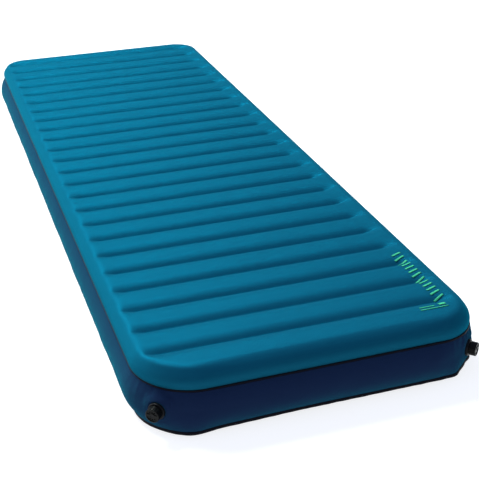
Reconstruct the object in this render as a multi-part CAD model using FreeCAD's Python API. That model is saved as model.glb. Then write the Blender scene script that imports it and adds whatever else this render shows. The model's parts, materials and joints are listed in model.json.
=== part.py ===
"""Self-inflating sleeping pad with vertical side walls, two foam layers and two twist valves.

Millimetres. X is the width, Y the length, Z up. The origin is the middle of the underside, and the
end with the valves is at -Y. Soft pieces are plain solids of the right size: fabric is drawn thicker
than real cloth so that it meshes as a closed wall.
"""

import FreeCAD, Part
import math
import os

Vector = FreeCAD.Vector

# ---- whole pad ----
LENGTH = 1960.0            # seam to seam
WIDTH = 635.0
CORNER = 100.0             # plan radius of the corners
CREST_Z = 121.0            # top of the ridges above the floor
GROOVE_Z = 112.0           # bottom of the grooves between them
SHOULDER = 30.0            # rounding of the top panel's rim

# ---- seams and fabric ----
FABRIC = 1.5
BOTTOM_SEAM_TOP = 9.0
TOP_SEAM_LOW = 79.0
TOP_SEAM_HIGH = 83.0
SEAM_OUT = 2.5             # how far a seam stands proud of the outline
SEAM_IN = 4.0
WALL_BULGE = 12.0          # how far the inflated wall swells past the seams
WALL_MID_Z = 0.5 * (BOTTOM_SEAM_TOP + TOP_SEAM_LOW)
GLUE_GAP = 0.3             # bond line between neighbouring soft solids

# ---- ridges: one groove over each fabric strip ----
GROOVES = 24
PITCH = 78.55
FIRST_GROOVE = 85.6        # from the valve end

# ---- foam and strips ----
FOAM_INSET = 10.0
UPPER_FOAM_ROUND = 31.0
LOWER_FOAM_TOP = 38.0
UPPER_FOAM_LOW = 84.0
STRIP_LENGTH = 556.0
STRIP_THICK = 1.0
STRIP_FLANGE = 18.0

# ---- valves, measured along the valve axis from the fabric's outer face, outward positive ----
VALVE_BEARING = 47.0       # from the side wall towards the end wall, so each sits on a corner
VALVE_Z = 46.5
BARREL_R = 10.0
BARREL_IN = -18.0
NECK_OUT = 13.0
SEAL_BORE_R = 7.5
SEAL_BORE_OUT = 3.0
WIDE_BORE_R = 8.6
FLANGE_R = 15.5
FLANGE_IN = -1.0
FOOT_R = 12.5
FOOT_IN = -2.0
FLANGE_OUT = 4.5
WALL_HOLE_R = 15.8
PATCH_R = 24.0
PATCH_THICK = 1.0
POCKET_R = 16.0            # foam cut away around each barrel
POCKET_IN = -36.0

CAP_R = 13.0
CAP_IN = 6.3
CAP_OUT = 18.0
CAP_PLATE = 2.8
CAP_BORE_R = 10.4
CAP_RECESS_R = 10.6
CAP_RECESS = 1.2
CAP_FLUTES = 18
FLUTE_R = 1.1

STEM_R = 2.0
STEM_FLAT = 1.5            # flat on the lower rod that stops the stem turning
STEM_IN = -10.0
STEM_TOP = 17.0
STEM_UPPER_R = 2.4
HEAD_R = 7.2
HEAD_IN = -1.5
HEAD_OUT = 2.5
RING_MID = 0.5             # where the O-ring sits along the axis
RING_WIRE_R = 1.0
RING_R = 6.42
RING_GROOVE_R = 5.4
COLLAR_R = 3.6
BUTTON_R = 3.3

GUIDE_IN = -6.0
GUIDE_OUT = -3.5
GUIDE_R = 3.6
GUIDE_CLEARANCE = 0.1
ARM_WIDTH = 1.6

SEAT_THICK = 2.0
SEAT_R = 7.45
WINDOW_R = 4.0
WINDOW_Y = -1.0            # the window sits low in the seat, to leave room for the rivet
FLAP_R = 5.2
FLAP_THICK = 0.8
FLAP_GAP = 0.06
HINGE_Y = 4.3
TAB_HALF = 2.2
TAB_END_Y = 6.9
RIVET_Y = 5.7
RIVET_R = 0.8
RIVET_HEAD_R = 1.15

Z_AXIS = Vector(0, 0, 1)


# ---- outlines ----

def rounded_rectangle(half_x, half_y, radius, z):
    """Face of a rectangle with round corners, level at z."""
    cx = half_x - radius
    cy = half_y - radius
    edges = []
    for quadrant in range(4):
        start = math.pi / 2 * quadrant
        sign_x = 1 if quadrant in (0, 3) else -1
        sign_y = 1 if quadrant in (0, 1) else -1
        centre = Vector(sign_x * cx, sign_y * cy, z)
        arc = Part.Circle(centre, Z_AXIS, radius)
        edges.append(Part.ArcOfCircle(arc, start, start + math.pi / 2).toShape())
    sides = []
    for quadrant in range(4):
        here = edges[quadrant].lastVertex().Point
        there = edges[(quadrant + 1) % 4].firstVertex().Point
        sides.append(Part.LineSegment(here, there).toShape())
    return Part.Face(Part.Wire(Part.__sortEdges__(edges + sides)))


def polygon_xz(points):
    """Face in the XZ plane through (x, z) points."""
    corners = [Vector(x, 0, z) for x, z in points]
    return Part.Face(Part.makePolygon(corners + corners[:1]))


def cylinder(radius, low, high, x=0.0, y=0.0):
    """Upright cylinder between two heights."""
    return Part.makeCylinder(radius, high - low, Vector(x, y, low))


def bar(x0, x1, y0, y1, z0, z1):
    return Part.makeBox(x1 - x0, y1 - y0, z1 - z0, Vector(x0, y0, z0))


# ---- bands that run round the pad ----

def corner_centre(quadrant):
    sign_x = 1 if quadrant in (0, 3) else -1
    sign_y = 1 if quadrant in (0, 1) else -1
    return Vector(sign_x * (WIDTH / 2 - CORNER), sign_y * (LENGTH / 2 - CORNER), 0)


def corner_section(section, quadrant, turn):
    """The section at a corner's centre, pointing outward at the start of that quadrant plus turn."""
    face = section.copy()
    face.rotate(Vector(), Z_AXIS, 90.0 * quadrant + turn)
    face.translate(corner_centre(quadrant))
    return face


def corner_band(section, quadrant):
    face = corner_section(section, quadrant, 0.0)
    return face.revolve(corner_centre(quadrant), Z_AXIS, 90.0)


def band(section):
    """Sweeps a section round the outline; its x is the distance from a corner's centre."""
    pieces = []
    for quadrant in range(4):
        pieces.append(corner_band(section, quadrant))
        run = corner_centre((quadrant + 1) % 4) - corner_centre(quadrant)
        pieces.append(corner_section(section, quadrant, 90.0).extrude(run))
    return pieces[0].multiFuse(pieces[1:]).removeSplitter()


def wall_section(outer, inner):
    """Swollen wall between the seams; outer and inner are offsets from the fabric's outer face."""
    def arc(offset, low, high):
        start = Vector(CORNER + offset, 0, low)
        middle = Vector(CORNER + WALL_BULGE + offset, 0, WALL_MID_Z)
        end = Vector(CORNER + offset, 0, high)
        return Part.Arc(start, middle, end).toShape()
    front = arc(outer, BOTTOM_SEAM_TOP, TOP_SEAM_LOW)
    back = arc(inner, BOTTOM_SEAM_TOP, TOP_SEAM_LOW)
    low = Part.LineSegment(front.firstVertex().Point, back.firstVertex().Point).toShape()
    high = Part.LineSegment(front.lastVertex().Point, back.lastVertex().Point).toShape()
    return Part.Face(Part.Wire(Part.__sortEdges__([front, high, back, low])))


def seam_section(low, high, inner, soft):
    """Welded lip from inner to SEAM_OUT, with its outer corners cut by soft."""
    out = CORNER + SEAM_OUT
    points = [
        (CORNER - inner, low),
        (out - soft, low),
        (out, low + soft),
        (out, high - soft),
        (out - soft, high),
        (CORNER - inner, high),
    ]
    return polygon_xz(points)


# ---- the ridged top ----

def groove_y(index):
    return -LENGTH / 2 + FIRST_GROOVE + PITCH * index


def ridge_block(drop, low):
    """Everything under the ridged surface, lowered by drop, wider than the pad."""
    crest = CREST_Z - drop
    groove = GROOVE_Z - drop
    beyond = LENGTH / 2 + 50.0

    def half_ridge(start_y, start_z, end_y, end_z, crest_y):
        rise = CREST_Z - GROOVE_Z
        radius = ((PITCH / 2) ** 2 + rise ** 2) / (2 * rise)
        middle_y = 0.5 * (start_y + end_y)
        middle_z = crest - radius + math.sqrt(radius ** 2 - (middle_y - crest_y) ** 2)
        points = [(start_y, start_z), (middle_y, middle_z), (end_y, end_z)]
        return Part.Arc(*[Vector(0, y, z) for y, z in points]).toShape()

    first_crest = groove_y(0) - PITCH / 2
    last_crest = groove_y(GROOVES - 1) + PITCH / 2
    edges = [half_ridge(first_crest, crest, groove_y(0), groove, first_crest)]
    for index in range(GROOVES - 1):
        start = Vector(0, groove_y(index), groove)
        middle = Vector(0, groove_y(index) + PITCH / 2, crest)
        end = Vector(0, groove_y(index + 1), groove)
        edges.append(Part.Arc(start, middle, end).toShape())
    edges.append(half_ridge(groove_y(GROOVES - 1), groove, last_crest, crest, last_crest))
    outline = [
        Vector(0, last_crest, crest),
        Vector(0, beyond, crest),
        Vector(0, beyond, low),
        Vector(0, -beyond, low),
        Vector(0, -beyond, crest),
        Vector(0, first_crest, crest),
    ]
    for here, there in zip(outline, outline[1:]):
        edges.append(Part.LineSegment(here, there).toShape())
    face = Part.Face(Part.Wire(Part.__sortEdges__(edges)))
    face.translate(Vector(-WIDTH, 0, 0))
    return face.extrude(Vector(2 * WIDTH, 0, 0))


def shoulder_block(inset, drop, low, rounding):
    """Block of the pad's outline with a rounded top rim."""
    high = CREST_Z - drop
    outline = rounded_rectangle(WIDTH / 2 - inset, LENGTH / 2 - inset, CORNER - inset, low)
    block = outline.extrude(Vector(0, 0, high - low))
    rim = [edge for edge in block.Edges if edge.BoundBox.ZMin > high - 0.001]
    return block.makeFillet(rounding, rim)


def ridged_block(inset, drop, low, rounding):
    return shoulder_block(inset, drop, low, rounding).common(ridge_block(drop, low - 1.0))


def top_panel():
    outer = ridged_block(0.0, 0.0, TOP_SEAM_HIGH, SHOULDER)
    inner = ridged_block(FABRIC, FABRIC, TOP_SEAM_HIGH - 1.0, SHOULDER - FABRIC)
    return outer.cut(inner)


# ---- foam and strips ----

def upper_foam():
    return ridged_block(FOAM_INSET, FABRIC + 1.0, UPPER_FOAM_LOW, UPPER_FOAM_ROUND)


def lower_foam():
    low = FABRIC + GLUE_GAP
    inset = FOAM_INSET
    outline = rounded_rectangle(WIDTH / 2 - inset, LENGTH / 2 - inset, CORNER - inset, low)
    slab = outline.extrude(Vector(0, 0, LOWER_FOAM_TOP - low))
    for side in (-1, 1):
        slab = slab.cut(place_valve(cylinder(POCKET_R, POCKET_IN, 30.0), side))
    return slab


def baffle_strip(index):
    """Fabric strip with a glued flange under the upper foam and another on the lower foam."""
    low = LOWER_FOAM_TOP
    high = UPPER_FOAM_LOW
    half = STRIP_THICK / 2
    points = [
        (-STRIP_FLANGE, low),
        (half, low),
        (half, high - STRIP_THICK),
        (STRIP_FLANGE, high - STRIP_THICK),
        (STRIP_FLANGE, high),
        (-half, high),
        (-half, low + STRIP_THICK),
        (-STRIP_FLANGE, low + STRIP_THICK),
    ]
    corners = [Vector(-STRIP_LENGTH / 2, y + groove_y(index), z) for y, z in points]
    face = Part.Face(Part.makePolygon(corners + corners[:1]))
    return face.extrude(Vector(STRIP_LENGTH, 0, 0))


# ---- fabric skins and seams ----

def bottom_panel():
    inset = SEAM_IN + GLUE_GAP
    outline = rounded_rectangle(WIDTH / 2 - inset, LENGTH / 2 - inset, CORNER - inset, 0.0)
    return outline.extrude(Vector(0, 0, FABRIC))


def side_wall():
    wall = band(wall_section(0.0, -FABRIC))
    for side in (-1, 1):
        wall = wall.cut(place_valve(cylinder(WALL_HOLE_R, -8.0, 8.0), side))
    return wall


def top_seam():
    return band(seam_section(TOP_SEAM_LOW, TOP_SEAM_HIGH, FABRIC, 1.0))


def bottom_seam():
    return band(seam_section(0.0, BOTTOM_SEAM_TOP, SEAM_IN, 1.5))


# ---- valves: built upright about Z, then laid along the corner's diagonal ----

def place_valve(shape, side):
    """Lays the valve's +Z along the diagonal of the corner on that side, its +Y upward."""
    bearing = math.radians(VALVE_BEARING)
    outward = Vector(side * math.cos(bearing), -math.sin(bearing), 0)
    across = Z_AXIS.cross(outward)
    centre = Vector(side * (WIDTH / 2 - CORNER), -(LENGTH / 2 - CORNER), VALVE_Z)
    seat = centre + outward * (CORNER + WALL_BULGE)
    matrix = FreeCAD.Matrix(
        across.x, 0, outward.x, seat.x,
        across.y, 0, outward.y, seat.y,
        across.z, 1, outward.z, seat.z,
        0, 0, 0, 1)
    placed = shape.copy()
    placed.Placement = FreeCAD.Placement(matrix)
    return placed


def valve_patch(side):
    """Reinforcing disc welded behind the fabric, bent to the wall's curve."""
    quadrant = 3 if side > 0 else 2
    gap = 0.1
    section = wall_section(-FABRIC - gap, -FABRIC - gap - PATCH_THICK)
    disc = place_valve(cylinder(PATCH_R, -20.0, 10.0), side)
    hole = place_valve(cylinder(BARREL_R + 0.2, -20.0, 10.0), side)
    return corner_band(section, quadrant).common(disc).cut(hole)


def d_rod(radius, flat, low, high):
    """Round rod with one flat, so that it slides without turning."""
    rod = cylinder(radius, low, high)
    return rod.cut(bar(-radius, radius, flat, radius + 1.0, low, high))


def valve_base():
    """Flange, barrel and neck in one moulding, with a three-armed guide for the stem."""
    flange = cylinder(FLANGE_R, FLANGE_IN, FLANGE_OUT)
    rim = [edge for edge in flange.Edges if edge.BoundBox.ZMin > FLANGE_OUT - 0.001]
    flange = flange.makeFillet(1.0, rim)
    foot = cylinder(FOOT_R, FOOT_IN, FLANGE_IN)
    body = flange.fuse(foot).fuse(cylinder(BARREL_R, BARREL_IN, NECK_OUT))
    body = body.cut(cylinder(SEAL_BORE_R, BARREL_IN, SEAL_BORE_OUT))
    step = WIDE_BORE_R - SEAL_BORE_R
    lead_in = Part.makeCone(SEAL_BORE_R, WIDE_BORE_R, step, Vector(0, 0, SEAL_BORE_OUT))
    body = body.cut(lead_in)
    body = body.cut(cylinder(WIDE_BORE_R, SEAL_BORE_OUT + step, NECK_OUT))
    hub = cylinder(GUIDE_R, GUIDE_IN, GUIDE_OUT)
    for arm in range(3):
        spoke = bar(0, SEAL_BORE_R + 0.5, -ARM_WIDTH / 2, ARM_WIDTH / 2, GUIDE_IN, GUIDE_OUT)
        spoke.rotate(Vector(), Z_AXIS, 120.0 * arm - 90.0)
        hub = hub.fuse(spoke)
    hole = d_rod(STEM_R + GUIDE_CLEARANCE, STEM_FLAT + GUIDE_CLEARANCE, GUIDE_IN, GUIDE_OUT)
    return body.fuse(hub.cut(hole)).removeSplitter()


def check_seat():
    """Disc at the inner end of the barrel with a barred window that the flap closes."""
    high = BARREL_IN + SEAT_THICK
    seat = cylinder(SEAT_R, BARREL_IN, high)
    window = cylinder(WINDOW_R, BARREL_IN, high, y=WINDOW_Y)
    window = window.cut(bar(-0.6, 0.6, -9.0, 9.0, BARREL_IN, high))
    window = window.cut(bar(-9.0, 9.0, WINDOW_Y - 0.6, WINDOW_Y + 0.6, BARREL_IN, high))
    return seat.cut(window).cut(cylinder(RIVET_R, BARREL_IN, high, y=RIVET_Y))


def flap_levels(opens_inward):
    """Lowest and highest level of the flap, on the face of the seat that it closes."""
    if opens_inward:
        return BARREL_IN - FLAP_GAP - FLAP_THICK, BARREL_IN - FLAP_GAP
    face = BARREL_IN + SEAT_THICK
    return face + FLAP_GAP, face + FLAP_GAP + FLAP_THICK


def check_flap(opens_inward):
    low, high = flap_levels(opens_inward)
    disc = cylinder(FLAP_R, low, high, y=WINDOW_Y)
    tongue = bar(-TAB_HALF, TAB_HALF, 0.0, HINGE_Y - 0.05, low, high)
    return disc.fuse(tongue).removeSplitter()


def flap_rivet(opens_inward):
    """The flap's clamped tab with the plug that holds it to the seat."""
    low, high = flap_levels(opens_inward)
    tab = bar(-TAB_HALF, TAB_HALF, HINGE_Y + 0.1, TAB_END_Y, low, high)
    other = BARREL_IN + SEAT_THICK if opens_inward else BARREL_IN
    head_low = low - 0.7 if opens_inward else high
    head = cylinder(RIVET_HEAD_R, head_low, head_low + 0.7, y=RIVET_Y)
    shank = cylinder(RIVET_R, min(other, low), max(other, high), y=RIVET_Y)
    return tab.fuse([head, shank]).removeSplitter()


def valve_stem():
    """Plunger with its O-ring groove, a lower rod with a flat and an upper rod that holds the cap."""
    lower = d_rod(STEM_R, STEM_FLAT, STEM_IN, HEAD_IN)
    head = cylinder(HEAD_R, HEAD_IN, HEAD_OUT)
    groove = cylinder(HEAD_R + 1.0, RING_MID - 1.1, RING_MID + 1.1)
    groove = groove.cut(cylinder(RING_GROOVE_R, RING_MID - 1.1, RING_MID + 1.1))
    upper = cylinder(STEM_UPPER_R, HEAD_OUT, STEM_TOP)
    plate_in = CAP_OUT - CAP_PLATE
    collar = cylinder(COLLAR_R, plate_in - 0.8, plate_in - 0.1)
    button = cylinder(BUTTON_R, STEM_TOP - 0.1, STEM_TOP + 0.7)
    return head.cut(groove).fuse([lower, upper, collar, button]).removeSplitter()


def o_ring():
    return Part.makeTorus(RING_R, RING_WIRE_R, Vector(0, 0, RING_MID))


def valve_cap():
    """Fluted twist cap: recessed face with a grip bar, vent holes and a bore for the stem."""
    cap = cylinder(CAP_R, CAP_IN, CAP_OUT)
    rim = [edge for edge in cap.Edges if edge.BoundBox.ZMin > CAP_OUT - 0.001]
    cap = cap.makeFillet(1.0, rim)
    cap = cap.cut(cylinder(CAP_BORE_R, CAP_IN, CAP_OUT - CAP_PLATE))
    face = CAP_OUT - CAP_RECESS
    recess = cylinder(CAP_RECESS_R, face, CAP_OUT)
    grip = bar(-CAP_RECESS_R - 0.5, CAP_RECESS_R + 0.5, -2.4, 2.4, face, CAP_OUT)
    grip = grip.fuse(cylinder(4.8, face, CAP_OUT))
    cap = cap.cut(recess.cut(grip))
    cap = cap.cut(cylinder(STEM_UPPER_R + 0.1, CAP_OUT - CAP_PLATE, CAP_OUT))
    cap = cap.cut(cylinder(BUTTON_R + 0.2, STEM_TOP - 0.15, CAP_OUT))
    for side in (-1, 1):
        for angle in (55.0, 90.0, 125.0):
            x = 7.6 * math.cos(math.radians(angle))
            y = side * 7.6 * math.sin(math.radians(angle))
            cap = cap.cut(cylinder(1.2, CAP_OUT - CAP_PLATE, CAP_OUT, x=x, y=y))
    for flute in range(CAP_FLUTES):
        angle = 2 * math.pi * flute / CAP_FLUTES
        x = (CAP_R + 0.4) * math.cos(angle)
        y = (CAP_R + 0.4) * math.sin(angle)
        cap = cap.cut(cylinder(FLUTE_R, CAP_IN, CAP_OUT, x=x, y=y))
    return cap


def build():
    nodes = {
        "top_panel": top_panel(),
        "side_wall": side_wall(),
        "bottom_panel": bottom_panel(),
        "top_seam": top_seam(),
        "bottom_seam": bottom_seam(),
        "upper_foam": upper_foam(),
        "lower_foam": lower_foam(),
    }
    for index in range(GROOVES):
        nodes[f"baffle_strip_{index + 1:02d}"] = baffle_strip(index)
    for name, side, opens_inward in (("inflate", -1, True), ("deflate", 1, False)):
        nodes[f"{name}_valve_patch"] = valve_patch(side)
        pieces = {
            "base": valve_base(),
            "check_seat": check_seat(),
            "check_flap": check_flap(opens_inward),
            "flap_rivet": flap_rivet(opens_inward),
            "stem": valve_stem(),
            "o_ring": o_ring(),
            "cap": valve_cap(),
        }
        for piece, shape in pieces.items():
            nodes[f"{name}_valve_{piece}"] = place_valve(shape, side)
    return nodes


os.makedirs("parts", exist_ok=True)
for node, shape in build().items():
    shape.exportStep(f"parts/{node}.step")
    box = shape.BoundBox
    print(node, len(shape.Solids), shape.isValid(), round(shape.Volume), [
        round(value, 2) for value in (box.XMin, box.YMin, box.ZMin, box.XMax, box.YMax, box.ZMax)])
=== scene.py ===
"""Looks of the self-inflating sleeping pad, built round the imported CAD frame. Metres.

The valves are at the near end, towards -y. Corners, also called quadrants, run anticlockwise:
0 far right, 1 far left, 2 near left, 3 near right.
"""

import json
import math

import bpy
import numpy as np
from mathutils import Matrix, Vector, noise
from mathutils.bvhtree import BVHTree


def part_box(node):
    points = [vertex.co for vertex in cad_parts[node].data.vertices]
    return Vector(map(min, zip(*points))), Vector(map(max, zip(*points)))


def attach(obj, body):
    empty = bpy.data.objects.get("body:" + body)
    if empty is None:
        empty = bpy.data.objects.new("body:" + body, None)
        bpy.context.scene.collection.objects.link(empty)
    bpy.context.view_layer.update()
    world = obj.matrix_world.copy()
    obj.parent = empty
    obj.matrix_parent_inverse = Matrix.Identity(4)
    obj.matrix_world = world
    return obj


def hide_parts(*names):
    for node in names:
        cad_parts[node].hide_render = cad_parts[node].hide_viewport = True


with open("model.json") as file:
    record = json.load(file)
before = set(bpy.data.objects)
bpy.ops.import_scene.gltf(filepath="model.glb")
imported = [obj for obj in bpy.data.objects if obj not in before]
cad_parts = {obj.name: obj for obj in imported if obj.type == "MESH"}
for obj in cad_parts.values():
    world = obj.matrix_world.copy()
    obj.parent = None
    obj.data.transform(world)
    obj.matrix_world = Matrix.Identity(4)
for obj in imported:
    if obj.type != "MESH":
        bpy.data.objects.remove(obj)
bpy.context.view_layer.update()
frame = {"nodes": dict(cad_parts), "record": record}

# ---- sizes that the frame gives ----
PANEL_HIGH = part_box("top_panel")[1]
HALF_X = PANEL_HIGH.x
HALF_Y = PANEL_HIGH.y
CREST_Z = PANEL_HIGH.z
STRIPS = sorted(name for name in frame["nodes"] if name.startswith("baffle_strip_"))
GROOVES_Y = [0.5 * (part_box(name)[0].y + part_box(name)[1].y) for name in STRIPS]
PITCH = (GROOVES_Y[-1] - GROOVES_Y[0]) / (len(GROOVES_Y) - 1)
VALVE_Z = 0.5 * (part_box("inflate_valve_base")[0].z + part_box("inflate_valve_base")[1].z)

# ---- outline ----
SEAM_Z = 0.0811               # where the top fabric meets the wall
WALL_LOW_Z = 0.0050           # where the wall meets the underside's rim
CORNER_STEPS = 44             # mesh stations along each corner, long side and short side
LONG_STEPS = 216
SHORT_STEPS = 52
SIGN_X = (1, -1, -1, 1)
SIGN_Y = (1, 1, -1, -1)
TOP_RADII = (0.080, 0.072, 0.112, 0.084)  # plan radius of each corner at the top seam
MID_RADII = (0.095, 0.095, 0.110, 0.100)  # at the valves
LOW_RADII = (0.085, 0.085, 0.094, 0.090)  # and on the floor

# Outward bulges of the foot: place, width, size. They fade out at BULGE_TALL.
BULGE_TALL = 0.050
NEAR_END_BULGES = ((-0.238, 0.036, 0.0085), (-0.17, 0.08, 0.0035))  # place is x
NEAR_RIGHT_BULGES = ((0.244, 0.10, 0.005), (0.715, 0.09, 0.008))    # 0 to 1 along the corner
NEAR_RIGHT = 3

# ---- top panel ----
STEEP = math.radians(27.0)    # slope beside a groove, on top of the crown's
STEEP_START = 0.0016          # the steep part starts over this distance from a groove
STEEP_FADE = (0.0030, 0.0260)  # and fades out between these
CROWN = math.radians(7.0)     # slope that falls evenly from the groove to the crest
SOFT = 0.0050                 # how gently the ridges run into the shoulder
SIDE_SHOULDER = 0.028         # plan width of the shoulder along the sides
END_SHOULDER = 0.037          # and along the ends
RIDGE_END_RIGHT = 0.018       # the ridges start this far from the edge
RIDGE_END_LEFT = 0.002
RIDGE_END_LONG = 0.046        # and have their full depth this much further in
BEYOND_REACH = 0.050          # past the end grooves, the crest's height is reached here
FOLD_PLACE = 0.0165           # shallow fold across the near end
FOLD_WIDTH = 0.0050
FOLD_DEEP = 0.0017
FOLD_ENDS = (0.03, 0.12)
SHOULDER_SWELL = 0.0030       # how far the shoulder stands out above the seam
SHOULDER_TALL = 0.030
SHOULDER_REACH = 0.03
RIM_ROWS = (0.0, 0.0003, 0.0011, 0.0025, 0.0044, 0.0069,
            0.0099, 0.0134, 0.0175, 0.0220, 0.0270, 0.0325)
GROOVE_ROWS = (0.0, 0.0011, 0.0028, 0.0058, 0.0100, 0.0160, 0.0220, 0.0280, 0.0335)
OUTER_ROWS = GROOVE_ROWS[:5]  # past the first and last groove
MARGIN = 0.085                # columns are closer together up to here

# ---- wall ----
SIDE_SWELL = 0.0178
CORNER_SWELL = (0.0150, 0.0150, 0.0161, 0.0122)
BROAD_WAVE = 0.0011
BROAD_SCALE = 16
FINE_WAVE = 0.0005
FINE_SCALE = 42
# Tucks along a seam: depth on the sides, extra at the corners, fade, radians a metre, noise layer.
UPPER_TUCKS = (0.0003, 0.0027, 0.013, 420, 0)
LOWER_TUCKS = (0.0002, 0.0008, 0.009, 370, 5)
TUCK_SWAY = 2.5
TUCK_SCALE = 25
ROW_STEP = 0.004              # mesh rows of the wall
LAST_ROW = 0.3                # share of a row kept free next to each seam

# ---- valves ----
VALVE_BEARING = math.radians(47.0)
CAP_STANDS = 0.01215          # from the wall's seat to the cap's middle
WALL_HOLE = 0.0142
SEAT_RADIUS = 0.0160
SEAT_DEEP = 0.0004
DRAWN_FLAT = 0.0175           # the wall is drawn flat up to here
DRAWN_END = 0.033             # and has its own shape from here
RING_RADIUS = 0.0185          # raised ring round the flange
RING_WIDTH = 0.0016
RING_TALL = 0.0009
VALVE_STATIONS = {2: 23, 3: 21}  # corner: step along it
WINDOW = 6                    # half size of the grid window that the rings replace
HOLE_RINGS = 11
RING_CROWDING = 1.15

# ---- cloth, seams, underside, print ----
CLOTH = 0.0010
THIN_CLOTH = 0.0006
INK = 0.0005
SEAM_TALL = 0.0050
RIM_TALL = 0.0085
SECTION_STEPS = 12
SECTION_FLAT = 0.7            # power that flattens a seam's section
SLIM = 0.55                   # share by which the seams stand out less on the left side
SLIM_FROM = 0.20
SLIM_TO = 0.30
BOTTOM_INSET = 0.003
BOTTOM_RISE = 0.0007          # faint lift of the underside between the grooves
BOTTOM_FLAT = (0.026, 0.066)
INK_LIFT = 0.0006
STROKE_LONG = 8               # mesh steps along and across a printed stroke
STROKE_WIDE = 3


# ---- helpers ----

def smoothstep(value, low, high):
    t = np.clip((value - low) / (high - low), 0.0, 1.0)
    return t * t * (3.0 - 2.0 * t)


def bell(value, centre, width):
    return math.exp(-((value - centre) / width) ** 2)


def bulge(value, bulges):
    """Sum of bulges, each a place, a width and a size."""
    return sum(size * bell(value, place, width) for place, width, size in bulges)


def ripple(x, y, z, scale):
    """Smooth noise from -1 to 1, with features about 1 / scale across."""
    return noise.noise(Vector((x * scale, y * scale, z * scale)))


def flattened(value):
    return math.copysign(abs(value) ** SECTION_FLAT, value)


def between(start, end, count):
    """Values evenly spaced between start and end, without either."""
    return list(np.linspace(start, end, count + 2)[1:-1])


def mesh_object(name, vertices, faces):
    data = bpy.data.meshes.new(name)
    data.from_pydata([tuple(v) for v in vertices], [], [tuple(int(i) for i in f) for f in faces])
    data.update()
    data.polygons.foreach_set("use_smooth", [True] * len(data.polygons))
    obj = bpy.data.objects.new(name, data)
    bpy.context.scene.collection.objects.link(obj)
    return obj


def grid_faces(rows, columns, closed=False, skip=()):
    """Quads of a grid of rows x columns vertices; closed joins the last column to the first."""
    faces = []
    last = columns if closed else columns - 1
    for i in range(rows - 1):
        here, above = i * columns, (i + 1) * columns
        for j in range(last):
            if (i, j) in skip:
                continue
            k = (j + 1) % columns
            faces.append((here + j, here + k, above + k, above + j))
    return faces


def thicken(obj, thickness):
    """Turns a skin into a closed cloth of that thickness, inward from its face."""
    modifier = obj.modifiers.new("cloth", "SOLIDIFY")
    modifier.thickness = thickness
    modifier.offset = -1.0
    modifier.use_even_offset = True
    bpy.context.view_layer.update()
    evaluated = obj.evaluated_get(bpy.context.evaluated_depsgraph_get())
    data = bpy.data.meshes.new_from_object(evaluated)
    obj.modifiers.clear()
    old = obj.data
    obj.data = data
    bpy.data.meshes.remove(old)


# ---- outline ----

def corner_radius(quadrant, z):
    """Plan radius of a corner at a height."""
    radii = (LOW_RADII[quadrant], MID_RADII[quadrant], TOP_RADII[quadrant])
    return float(np.interp(z, (0.0, VALVE_Z, SEAM_Z), radii))


def corner_centre(quadrant, radius):
    return np.array([SIGN_X[quadrant] * (HALF_X - radius), SIGN_Y[quadrant] * (HALF_Y - radius)])


def outline_steps():
    """Stations round the outline: (corner, 0 to 1 along it or along the side after it, on it)."""
    stations = []
    for quadrant in range(4):
        for step in range(CORNER_STEPS):
            stations.append((quadrant, step / CORNER_STEPS, True))
        sides = SHORT_STEPS if quadrant in (0, 2) else LONG_STEPS
        for step in range(sides):
            stations.append((quadrant, step / sides, False))
    return stations


STATIONS = outline_steps()


def outline_point(station, z, out):
    """Plan point of the outline at height z, pushed outward by out, and the outward direction."""
    quadrant, t, on_corner = station
    radius = corner_radius(quadrant, z)
    angle = math.pi / 2 * (quadrant + (t if on_corner else 1.0))
    normal = np.array([math.cos(angle), math.sin(angle)])
    point = corner_centre(quadrant, radius) + normal * radius
    if not on_corner:
        following = (quadrant + 1) % 4
        other = corner_radius(following, z)
        end = corner_centre(following, other) + normal * other
        point = point + (end - point) * t
    low = max(0.0, 1.0 - z / BULGE_TALL)
    near = 1.0 if point[1] < 0 else 0.0
    out = out + low * near * bulge(point[0], NEAR_END_BULGES)
    if quadrant == NEAR_RIGHT and on_corner:
        out = out + low * bulge(t, NEAR_RIGHT_BULGES)
    return point + normal * out, normal


# ---- top panel ----

def panel_rows():
    """Y of each row of the top panel: close together at the rims and beside every groove."""
    near = [-HALF_Y + inward for inward in RIM_ROWS]
    far = [HALF_Y - inward for inward in reversed(RIM_ROWS)]
    first, last = GROOVES_Y[0], GROOVES_Y[-1]
    rows = near + between(near[-1], first - OUTER_ROWS[-1], 7)
    rows += [first - away for away in reversed(OUTER_ROWS)]
    for start, end in zip(GROOVES_Y, GROOVES_Y[1:]):
        rows += [start + away for away in GROOVE_ROWS[1:]]
        rows += [0.5 * (start + end)]
        rows += [end - away for away in reversed(GROOVE_ROWS)]
    rows += [last + away for away in OUTER_ROWS[1:]]
    rows += between(last + OUTER_ROWS[-1], far[0], 4) + far
    return np.array(rows)


def panel_columns():
    """Share of the half width of each column, -1 to 1: close together at the rims."""
    rim = [SIDE_SHOULDER * (1 - math.cos(math.radians(degrees))) for degrees in range(0, 91, 9)]
    margin = list(np.linspace(rim[-1], MARGIN, 13)[1:])
    inner = list(np.linspace(MARGIN, HALF_X, 24)[1:])
    share = [1.0 - inward / HALF_X for inward in rim + margin + inner]
    return np.array([-s for s in share] + share[-2::-1])


def half_width(y, side, radii):
    """Half width of a row on one side, by the corner radii."""
    far, near = (radii[0], radii[3]) if side > 0 else (radii[1], radii[2])
    radius = np.where(y > 0, far, near)
    into = np.maximum(np.abs(y) - (HALF_Y - radius), 0.0)
    return HALF_X - radius + np.sqrt(np.maximum(radius ** 2 - into ** 2, 0.0))


def width_at(sign, y, radii):
    """Half width of each row on the side that sign has."""
    return np.where(sign > 0, half_width(y, 1, radii), half_width(y, -1, radii))


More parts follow.
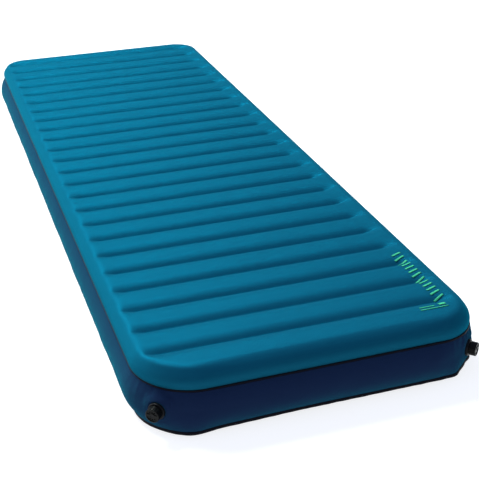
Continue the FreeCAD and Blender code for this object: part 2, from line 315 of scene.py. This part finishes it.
def inside_distance(x, y, radii):
    """Distance from the outline, positive inside, and the nearest edge's outward direction."""
    far = np.where(x > 0, radii[0], radii[1])
    near = np.where(x > 0, radii[3], radii[2])
    radius = np.where(y > 0, far, near)
    qx = np.abs(x) - (HALF_X - radius)
    qy = np.abs(y) - (HALF_Y - radius)
    cx, cy = np.maximum(qx, 0.0), np.maximum(qy, 0.0)
    reach = np.hypot(cx, cy)
    distance = radius - reach - np.minimum(np.maximum(qx, qy), 0.0)
    least = 1e-9
    safe = np.maximum(reach, least)
    nx = np.where(reach > least, cx / safe, (qx >= qy).astype(float))
    ny = np.where(reach > least, cy / safe, (qx < qy).astype(float))
    return distance, nx * np.sign(x), ny * np.sign(y)


def ridge_profile():
    """Rise above a groove against distance from it: steep beside the groove, then a crown."""
    away = np.linspace(0.0, PITCH / 2, 120)
    angle = STEEP * smoothstep(away, 0.0, STEEP_START) * (1.0 - smoothstep(away, *STEEP_FADE))
    angle = angle + CROWN * (1.0 - away / away[-1])
    step = away[1]
    slope = np.tan(angle)
    rise = np.concatenate([[0.0], np.cumsum(0.5 * (slope[1:] + slope[:-1])) * step])
    return away, rise


PROFILE_AWAY, PROFILE_RISE = ridge_profile()


def ridge_drop(y):
    """How far a row lies under the crests, 0 on a crest."""
    half = PITCH / 2
    grooves = np.array(GROOVES_Y)
    away = np.abs(y[..., None] - grooves).min(-1)
    beyond = (y < grooves[0]) | (y > grooves[-1])
    away = np.where(beyond, away * half / BEYOND_REACH, away)
    return PROFILE_RISE[-1] - np.interp(away, PROFILE_AWAY, PROFILE_RISE)


def panel_surface(x, y, radii):
    """Points of the inflated top fabric over plan positions x, y."""
    distance, nx, ny = inside_distance(x, y, radii)
    side = width_at(x, y, radii) - np.abs(x)
    width = SIDE_SHOULDER + (END_SHOULDER - SIDE_SHOULDER) * np.abs(ny)
    reach = np.clip(1.0 - distance / width, 0.0, 1.0)
    shoulder = SEAM_Z + (CREST_Z + SOFT - SEAM_Z) * np.sqrt(1.0 - reach ** 2)
    start = np.where(x > 0, RIDGE_END_RIGHT, RIDGE_END_LEFT)
    held = smoothstep(side, start, start + RIDGE_END_LONG)
    ridges = CREST_Z - held * ridge_drop(y)
    # the lower of shoulder and ridges, blended softly
    blend = np.clip(0.5 + 0.5 * (shoulder - ridges) / SOFT, 0.0, 1.0)
    z = shoulder * (1 - blend) + ridges * blend - SOFT * blend * (1 - blend)
    fold = np.exp(-((y + HALF_Y - FOLD_PLACE) / FOLD_WIDTH) ** 2) * smoothstep(side, *FOLD_ENDS)
    z = z - FOLD_DEEP * fold
    up = np.clip((z - SEAM_Z) / SHOULDER_TALL, 0.0, 1.0)
    swell = SHOULDER_SWELL * np.sin(math.pi * up) * (distance < SHOULDER_REACH)
    return x + nx * swell, y + ny * swell, z


def build_top_panel():
    rows, columns = panel_rows(), panel_columns()
    y = np.repeat(rows[:, None], len(columns), 1)
    x = columns[None, :] * width_at(columns[None, :], y, TOP_RADII)
    points = np.stack(panel_surface(x, y, TOP_RADII), -1).reshape(-1, 3)
    return mesh_object("top_fabric_panel", points, grid_faces(len(rows), len(columns)))


# ---- wall ----

def valve_axis(side):
    """Where a valve's axis meets the wall, and its outward direction."""
    outward = Vector((side * math.cos(VALVE_BEARING), -math.sin(VALVE_BEARING), 0.0))
    low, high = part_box("deflate_valve_cap" if side > 0 else "inflate_valve_cap")
    middle = 0.5 * (low + high)
    return Vector((middle.x, middle.y, VALVE_Z)) - outward * CAP_STANDS, outward


VALVES = {2: valve_axis(-1), 3: valve_axis(1)}


def tuck(kind, turn, away, along, x, y):
    """Depth of the tucks at a distance from their seam; turn is 1 in the middle of a corner."""
    side, corner, fade, pitch, layer = kind
    phase = along * pitch + TUCK_SWAY * ripple(x, y, layer, TUCK_SCALE)
    return (side + corner * turn) * math.exp(-away / fade) * math.sin(phase)


def wall_point(station, z):
    """Swollen, slightly wavy wall between the two seams, drawn up to each valve's flange."""
    quadrant, t, on_corner = station
    share = (z - WALL_LOW_Z) / (SEAM_Z - WALL_LOW_Z)
    arch = 1.0 - (2.0 * share - 1.0) ** 2
    turn = math.sin(math.pi * t) ** 0.8 if on_corner else 0.0
    swell = SIDE_SWELL + (CORNER_SWELL[quadrant] - SIDE_SWELL) * turn
    (x, y), normal = outline_point(station, z, 0.0)
    uneven = BROAD_WAVE * ripple(x, y, 0.6 * z, BROAD_SCALE)
    uneven = uneven + FINE_WAVE * ripple(x + 3, y, z, FINE_SCALE)
    along = x * abs(normal[1]) - y * abs(normal[0])
    tucks = tuck(UPPER_TUCKS, turn, SEAM_Z - z, along, x, y)
    tucks += tuck(LOWER_TUCKS, turn, z - WALL_LOW_Z, along, x, y)
    held = min(1.0, 6 * share + 0.05, 6 * (1 - share) + 0.05)  # by the two seams
    out = swell * arch + (uneven + tucks) * held
    spot = np.array([x + normal[0] * out, y + normal[1] * out, z])
    if quadrant in VALVES and on_corner:
        seat, outward = VALVES[quadrant]
        offset = Vector(spot) - seat
        rise = offset.dot(outward)
        away = (offset - outward * rise).length
        drawn = 1.0 - float(smoothstep(away, DRAWN_FLAT, DRAWN_END))
        ring = RING_TALL * bell(away, RING_RADIUS, RING_WIDTH)
        target = -SEAT_DEEP if away < SEAT_RADIUS else 0.0
        spot = spot + np.array(outward) * (drawn * (target - rise) + ring)
    return spot


def window_loop():
    """Grid steps from a valve's middle to each vertex round its window, in order."""
    forward, backward = range(-WINDOW, WINDOW), range(WINDOW, -WINDOW, -1)
    loop = [(i, -WINDOW) for i in forward] + [(WINDOW, j) for j in forward]
    return loop + [(i, WINDOW) for i in backward] + [(-WINDOW, j) for j in backward]


def build_wall():
    """Grid of rows and stations, with a round hole in a window of rings at each valve."""
    below = int((VALVE_Z - WALL_LOW_Z) / ROW_STEP - LAST_ROW)
    above = int((SEAM_Z - VALVE_Z) / ROW_STEP - LAST_ROW)
    steps = range(-below, above + 1)
    heights = [WALL_LOW_Z] + [VALVE_Z + ROW_STEP * k for k in steps] + [SEAM_Z]
    middle = below + 1
    count = len(STATIONS)
    points = [wall_point(station, z) for z in heights for station in STATIONS]
    skip, extra = set(), []
    loop = window_loop()
    for quadrant, step in VALVE_STATIONS.items():
        centre = STATIONS.index((quadrant, 0.0, True)) + step
        for i in range(middle - WINDOW, middle + WINDOW):
            for j in range(centre - WINDOW, centre + WINDOW):
                skip.add((i, j))
        previous = [(middle + i) * count + centre + j for i, j in loop]
        arc = math.pi / 2 * (MID_RADII[quadrant] + CORNER_SWELL[quadrant])
        station_size = arc / CORNER_STEPS
        for ring in range(1, HOLE_RINGS + 1):
            share = (1.0 - (ring / HOLE_RINGS)) ** RING_CROWDING
            current = []
            for i, j in loop:
                angle = math.atan2(i * ROW_STEP, j * station_size)
                hole_i = WALL_HOLE * math.sin(angle) / ROW_STEP
                hole_j = WALL_HOLE * math.cos(angle) / station_size
                row = hole_i + (i - hole_i) * share
                column = hole_j + (j - hole_j) * share
                station = (quadrant, (step + column) / CORNER_STEPS, True)
                current.append(len(points))
                points.append(wall_point(station, VALVE_Z + row * ROW_STEP))
            for a in range(len(loop)):
                b = (a + 1) % len(loop)
                extra.append((previous[b], previous[a], current[a], current[b]))
            previous = current
    faces = grid_faces(len(heights), count, closed=True, skip=skip) + extra
    return mesh_object("wall_fabric_band", points, faces)


# ---- seams ----

def build_seam(name, low, high, inner, proud, rough):
    """Welded lip that runs round the pad: a closed tube with a flat, slightly uneven section."""
    middle = 0.5 * (low + high)
    half = 0.5 * (high - low)
    section = []
    for step in range(SECTION_STEPS):
        angle = 2 * math.pi * step / SECTION_STEPS
        across = 0.5 * (proud + inner) * flattened(math.cos(angle))
        upward = half * flattened(math.sin(angle))
        section.append((0.5 * (proud - inner) + across, middle + upward))
    lifting = 0.5 * rough if low > 0.0 else 0.0  # the one on the floor stays flat
    points = []
    for out, z in section:
        for station in STATIONS:
            (x, y), normal = outline_point(station, middle, 0.0)
            wave = ripple(x, y, low, 60) + 0.5 * ripple(x, y, low, 170)
            slim = 1.0 - SLIM * float(smoothstep(-x, SLIM_FROM, SLIM_TO))
            push = (out + rough * wave) * slim if out > 0 else out
            height = max(z + lifting * ripple(x, y, 7.0, 45), 0.0)
            points.append((x + normal[0] * push, y + normal[1] * push, height))
    count = len(STATIONS)
    faces = grid_faces(len(section), count, closed=True)
    last = (len(section) - 1) * count
    for j in range(count):
        k = (j + 1) % count
        faces.append((last + j, last + k, k, j))
    return mesh_object(name, points, faces)


# ---- underside ----

def build_bottom():
    """Nearly flat cloth, held down round its edge."""
    rows, columns = panel_rows(), panel_columns()
    y = np.repeat(rows[:, None], len(columns), 1) * (HALF_Y - BOTTOM_INSET) / HALF_Y
    width = width_at(columns[None, :], y, LOW_RADII) - BOTTOM_INSET
    x = columns[None, :] * width
    held = smoothstep(width - np.abs(x), *BOTTOM_FLAT)
    z = BOTTOM_RISE * held * ridge_drop(y) / PROFILE_RISE[-1]
    points = np.stack([x, y, z], -1).reshape(-1, 3)
    faces = [face[::-1] for face in grid_faces(len(rows), len(columns))]
    return mesh_object("bottom_fabric_panel", points, faces)


# ---- printed marks ----

# Start x, y, end x, y, width: a row of slanted dashes, two thin bars and a small block.
STROKES = [(0.257, y, 0.279, y + 0.009, 0.0042) for y in np.arange(-0.893, -0.700, 0.0150)]
STROKES += [
    (0.212, -0.9270, 0.268, -0.9270, 0.0020),
    (0.214, -0.9180, 0.244, -0.9180, 0.0024),
    (0.254, -0.9160, 0.267, -0.9160, 0.0080),
]


def build_print(cloth):
    """Plain dashes and bars printed near the right edge, laid on the cloth."""
    mesh = cloth.data
    tree = BVHTree.FromPolygons([v.co for v in mesh.vertices], [p.vertices for p in mesh.polygons])
    down = Vector((0, 0, -1))
    above = 0.3
    points, faces = [], []
    for x0, y0, x1, y1, width in STROKES:
        along = Vector((x1 - x0, y1 - y0, 0.0))
        side = Vector((-along.y, along.x, 0.0)).normalized() * width
        first = len(points)
        for i in range(STROKE_LONG + 1):
            for j in range(STROKE_WIDE + 1):
                spot = Vector((x0, y0, above)) + along * (i / STROKE_LONG)
                spot = spot + side * (j / STROKE_WIDE - 0.5)
                hit, normal, _, _ = tree.ray_cast(spot, down)
                points.append(hit + normal * INK_LIFT)
        quads = grid_faces(STROKE_LONG + 1, STROKE_WIDE + 1)
        faces += [tuple(first + k for k in quad) for quad in quads]
    return mesh_object("print_marks", points, faces)


# ---- materials ----

WHITE = (1, 1, 1)
TEAL = (0.0, 0.85, 1.0)
CLOTH_MOTTLE = 0.06
MOULDED_MOTTLE = 0.15


def new_material(name):
    material = bpy.data.materials.new(name)
    material.use_nodes = True
    tree = material.node_tree
    return material, tree, tree.nodes["Principled BSDF"]


def math_node(tree, kind, first, second=None):
    """Output of a Math node; each value is a number or another node's output."""
    node = tree.nodes.new("ShaderNodeMath")
    node.operation = kind
    for socket, value in zip(node.inputs, (first, second)):
        if value is None:
            continue
        if isinstance(value, (int, float)):
            socket.default_value = value
        else:
            tree.links.new(value, socket)
    return node.outputs[0]


def noise_node(tree, coordinates, scale, detail):
    node = tree.nodes.new("ShaderNodeTexNoise")
    node.inputs["Scale"].default_value = scale
    node.inputs["Detail"].default_value = detail
    tree.links.new(coordinates.outputs["Object"], node.inputs["Vector"])
    return node.outputs["Fac"]


def range_node(tree, value, low, high):
    """A value from 0 to 1, spread from low to high."""
    node = tree.nodes.new("ShaderNodeMapRange")
    node.inputs["To Min"].default_value = low
    node.inputs["To Max"].default_value = high
    tree.links.new(value, node.inputs["Value"])
    return node.outputs[0]


def set_color(tree, shader, color, level):
    """Base colour: a colour times a grey level."""
    grey = tree.nodes.new("ShaderNodeCombineColor")
    for socket in grey.inputs[:3]:
        tree.links.new(level, socket)
    tint = tree.nodes.new("ShaderNodeMix")
    tint.data_type = "RGBA"
    tint.blend_type = "MULTIPLY"
    tint.inputs["Factor"].default_value = 1.0
    tint.inputs["A"].default_value = (*color, 1.0)
    tree.links.new(grey.outputs[0], tint.inputs["B"])
    tree.links.new(tint.outputs["Result"], shader.inputs["Base Color"])


def set_bump(tree, shader, height, strength, distance):
    bump = tree.nodes.new("ShaderNodeBump")
    bump.inputs["Strength"].default_value = strength
    bump.inputs["Distance"].default_value = distance
    tree.links.new(height, bump.inputs["Height"])
    tree.links.new(bump.outputs[0], shader.inputs["Normal"])


def fabric(name, color, roughness, weave=0.0012, depth=0.0004, specular=0.0, sheen=0.0,
           gleam=WHITE, lustre=0.0):
    """Plain-woven coated cloth: thread grid in the bump, soft mottling in colour and gloss."""
    material, tree, shader = new_material(name)
    coordinates = tree.nodes.new("ShaderNodeTexCoord")
    split = tree.nodes.new("ShaderNodeSeparateXYZ")
    tree.links.new(coordinates.outputs["Object"], split.inputs[0])

    def times(first, second):
        return math_node(tree, "MULTIPLY", first, second)

    def plus(first, second):
        return math_node(tree, "ADD", first, second)

    turns = 2 * math.pi / weave
    waves = [math_node(tree, "SINE", times(split.outputs[i], turns)) for i in range(3)]
    pairs = [times(waves[i], waves[(i + 1) % 3]) for i in range(3)]
    threads = plus(plus(pairs[0], pairs[1]), pairs[2])
    broad = noise_node(tree, coordinates, 9.0, 3.0)
    fine = noise_node(tree, coordinates, 140.0, 3.0)

    shade = plus(times(broad, CLOTH_MOTTLE), times(fine, CLOTH_MOTTLE))
    shade = plus(shade, times(threads, 0.03))
    set_color(tree, shader, color, plus(shade, 1.0 - CLOTH_MOTTLE))
    gloss = plus(times(fine, 0.12), roughness - 0.06)
    tree.links.new(gloss, shader.inputs["Roughness"])
    set_bump(tree, shader, plus(times(threads, 0.5), times(fine, 2.0)), 0.35, depth)

    shader.inputs["Metallic"].default_value = lustre
    shader.inputs["Specular IOR Level"].default_value = specular
    shader.inputs["Specular Tint"].default_value = (*gleam, 1.0)
    shader.inputs["Sheen Weight"].default_value = sheen
    shader.inputs["Sheen Tint"].default_value = (*gleam, 1.0)
    shader.inputs["Sheen Roughness"].default_value = 0.45
    return material


def moulded(name, color, roughness, grain, distance, specular=0.5):
    """Moulded plastic, rubber, film or foam: fine grain in colour, gloss and bump."""
    material, tree, shader = new_material(name)
    coordinates = tree.nodes.new("ShaderNodeTexCoord")
    texture = noise_node(tree, coordinates, grain, 4.0)
    level = range_node(tree, texture, 1.0 - MOULDED_MOTTLE, 1.0 + MOULDED_MOTTLE)
    set_color(tree, shader, color, level)
    gloss = range_node(tree, texture, roughness - 0.07, roughness + 0.07)
    tree.links.new(gloss, shader.inputs["Roughness"])
    shader.inputs["Specular IOR Level"].default_value = specular
    set_bump(tree, shader, texture, 0.4, distance)
    return material


def paint(obj, material):
    obj.data.materials.clear()
    obj.data.materials.append(material)


TOP = fabric("top_cloth", (0.004, 0.075, 0.128), 0.37, gleam=TEAL, lustre=0.30)
WALL = fabric("wall_cloth", (0.0088, 0.0165, 0.050), 0.50, sheen=0.165, gleam=TEAL)
BOTTOM = fabric("bottom_cloth", (0.008, 0.012, 0.025), 0.6, specular=0.2, gleam=TEAL)
STRIP = fabric("strip_cloth", (0.55, 0.56, 0.58), 0.7, weave=0.0010, depth=0.0003, specular=0.2)
PRINT = fabric("print_ink", (0.03, 0.36, 0.17), 0.5, depth=0.0003, specular=0.1)
FILM = moulded("seam_film", (0.002, 0.002, 0.006), 0.50, 300.0, 0.0004, specular=0.05)
FOAM = moulded("foam", (0.62, 0.57, 0.38), 0.9, 600.0, 0.0010)
PLASTIC = moulded("black_plastic", (0.006, 0.006, 0.007), 0.38, 900.0, 0.0001, specular=0.10)
CAP = moulded("cap_plastic", (0.0028, 0.0032, 0.0032), 0.34, 900.0, 0.0001, specular=0.10)
RUBBER = moulded("seal_rubber", (0.03, 0.03, 0.032), 0.6, 700.0, 0.0001)

BY_SLOT = {
    "strip_fabric": STRIP,
    "seam_film": FILM,
    "foam": FOAM,
    "valve_plastic": PLASTIC,
    "cap_plastic": CAP,
    "seal_rubber": RUBBER,
}


# ---- pieces ----

top = build_top_panel()
thicken(top, CLOTH)
paint(top, TOP)
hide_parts("top_panel")
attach(top, "pad")

marks = build_print(top)
thicken(marks, INK)
paint(marks, PRINT)
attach(marks, "pad")

wall = build_wall()
thicken(wall, CLOTH)
paint(wall, WALL)
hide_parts("side_wall")
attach(wall, "pad")

bottom = build_bottom()
thicken(bottom, THIN_CLOTH)
paint(bottom, BOTTOM)
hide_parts("bottom_panel")
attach(bottom, "pad")

lip_low, lip_high = SEAM_Z - 0.5 * SEAM_TALL, SEAM_Z + 0.5 * SEAM_TALL
upper_lip = build_seam("top_seam_lip", lip_low, lip_high, 0.0015, 0.0024, 0.0005)
lower_rim = build_seam("bottom_seam_rim", 0.0, RIM_TALL, 0.004, 0.0030, 0.0007)
for piece, node in ((upper_lip, "top_seam"), (lower_rim, "bottom_seam")):
    paint(piece, FILM)
    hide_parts(node)
    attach(piece, "pad")

slots = {row["node"]: row["material_slot"] for row in frame["record"]["subparts"]}
for name, obj in frame["nodes"].items():
    material = BY_SLOT.get(slots.get(name))
    if material is not None:
        paint(obj, material)


# ---- floor, light, camera ----

FLOOR_HALF = 80.0
FLOOR_GAP = 0.0006            # the floor lies just under the pad


def add_floor():
    """Pale plain floor, partly lit from within so that it reads as white."""
    corners = [(x * FLOOR_HALF, y * FLOOR_HALF, 0) for x, y in ((-1, -1), (1, -1), (1, 1), (-1, 1))]
    floor = mesh_object("floor", corners, [(0, 1, 2, 3)])
    floor.location.z = -FLOOR_GAP
    material, _, shader = new_material("floor")
    shader.inputs["Base Color"].default_value = (0.40, 0.40, 0.40, 1)
    shader.inputs["Emission Color"].default_value = (1, 1, 1, 1)
    shader.inputs["Emission Strength"].default_value = 0.80
    shader.inputs["Roughness"].default_value = 0.9
    shader.inputs["Specular IOR Level"].default_value = 0.1
    paint(floor, material)


def area_light(name, place, target, width, height, power, color=WHITE):
    data = bpy.data.lights.new(name, "AREA")
    data.shape = "RECTANGLE"
    data.size = width
    data.size_y = height
    data.energy = power
    data.color = color
    obj = bpy.data.objects.new(name, data)
    bpy.context.scene.collection.objects.link(obj)
    aim = (Vector(target) - Vector(place)).normalized()
    obj.rotation_euler = aim.to_track_quat("-Z", "Y").to_euler()
    obj.location = place


def add_world():
    """Pale round the horizon, dim just above it, and lighter and cooler overhead."""
    world = bpy.data.worlds.new("studio")
    world.use_nodes = True
    bpy.context.scene.world = world
    nodes, links = world.node_tree.nodes, world.node_tree.links
    coordinates = nodes.new("ShaderNodeTexCoord")
    split = nodes.new("ShaderNodeSeparateXYZ")
    links.new(coordinates.outputs["Generated"], split.inputs[0])
    ramp = nodes.new("ShaderNodeValToRGB")
    stops = ramp.color_ramp.elements
    stops[0].position, stops[0].color = 0.17, (0.93, 0.94, 0.96, 1)
    stops[1].position, stops[1].color = 0.90, (0.42, 0.53, 0.81, 1)
    middle = stops.new(0.27)
    middle.color = (0.10, 0.13, 0.20, 1)
    links.new(split.outputs["Z"], ramp.inputs["Fac"])
    links.new(ramp.outputs["Color"], nodes["Background"].inputs["Color"])


def add_camera():
    data = bpy.data.cameras.new("camera")
    data.lens = 79.22
    data.sensor_width = 36.0
    obj = bpy.data.objects.new("camera", data)
    bpy.context.scene.collection.objects.link(obj)
    right = Vector((0.94973, -0.31248, -0.01939)).normalized()
    forward = Vector((0.27239, 0.85521, -0.44093)).normalized()
    up = right.cross(forward)
    right = forward.cross(up)
    matrix = Matrix((right, up, -forward)).transposed().to_4x4()
    matrix.translation = Vector((-0.6015, -2.4061, 1.0863))
    obj.matrix_world = matrix
    bpy.context.scene.camera = obj


add_floor()
area_light("key", (-2.4, 7.5, 9.1), (0.0, 0.0, 0.1), 6.4, 2.24, 2944, (0.92, 1.0, 0.96))
area_light("left_panel", (-3.4, 3.2, 1.3), (-0.3, 0.7, 0.05), 2.4, 1.6, 110)
add_world()
add_camera()
bpy.context.scene.view_settings.view_transform = "Standard"
